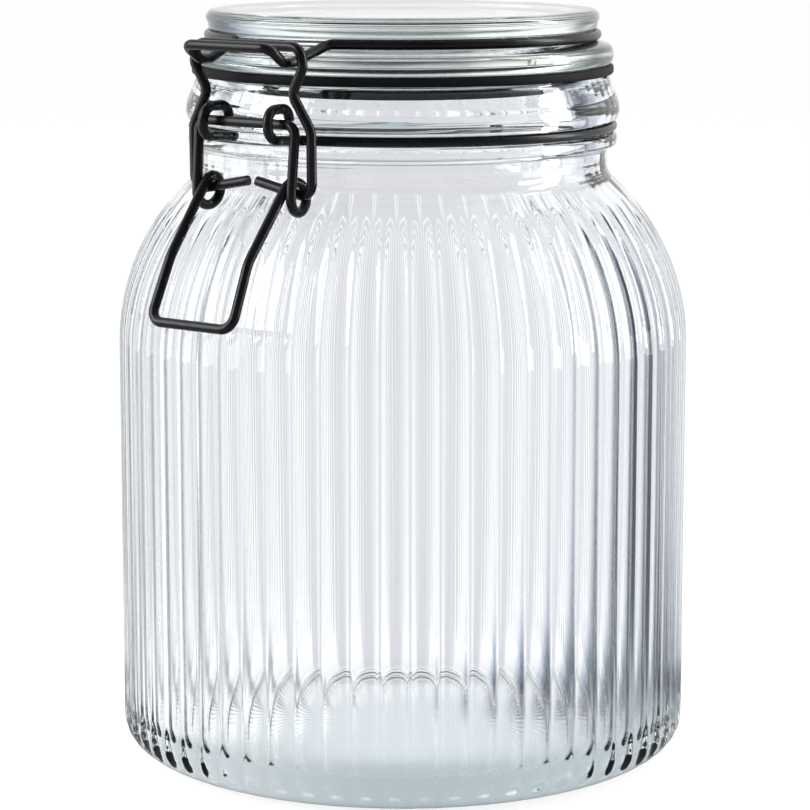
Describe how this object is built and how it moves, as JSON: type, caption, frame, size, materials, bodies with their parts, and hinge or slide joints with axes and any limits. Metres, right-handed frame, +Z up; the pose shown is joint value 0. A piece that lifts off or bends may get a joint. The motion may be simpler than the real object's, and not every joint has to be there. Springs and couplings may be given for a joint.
{
  "type": "preserving jar",
  "caption": "Clip-top preserving jar: fluted clear glass body, thick glass lid on a black rubber seal, black bent-wire hinge and lever closure.",
  "frame": {"origin": "middle of the jar's flat base, on the surface it stands on", "axes": "+Z up the jar's axis, -Y towards the lever closure, +Y towards the lid hinge, +X to the right as seen from the closure"},
  "size_m": [0.1406, 0.1505, 0.1846],
  "materials": {
    "clear_glass": "clear polished soda-lime glass",
    "black_rubber": "matt moulded rubber",
    "black_wire": "satin black coated steel wire"
  },
  "bodies": {
    "jar": {"glass_jar": "clear_glass", "neck_wire": "black_wire"},
    "lid": {"glass_lid": "clear_glass", "rubber_seal": "black_rubber", "lid_wire": "black_wire"},
    "lever": {"latch_lever": "black_wire"},
    "link": {"latch_link": "black_wire"}
  },
  "joints": [
    {"name": "lid_hinge", "type": "hinge", "parent": "jar", "child": "lid", "pos_m": [0, 0.0594, 0.167], "axis": [-1, 0, 0], "range_deg": [0, 115]},
    {"name": "lever_pivot", "type": "hinge", "parent": "jar", "child": "lever", "pos_m": [0, -0.0586, 0.1606], "axis": [-1, 0, 0], "range_deg": [0, 120]},
    {"name": "link_pivot", "type": "hinge", "parent": "lever", "child": "link", "pos_m": [0, -0.0567, 0.1447], "axis": [1, 0, 0], "range_deg": [0, 95]}
  ],
  "couplings": [
    {"joint": "link_pivot", "follows": "lever_pivot", "ratio": 0.78}
  ]
}
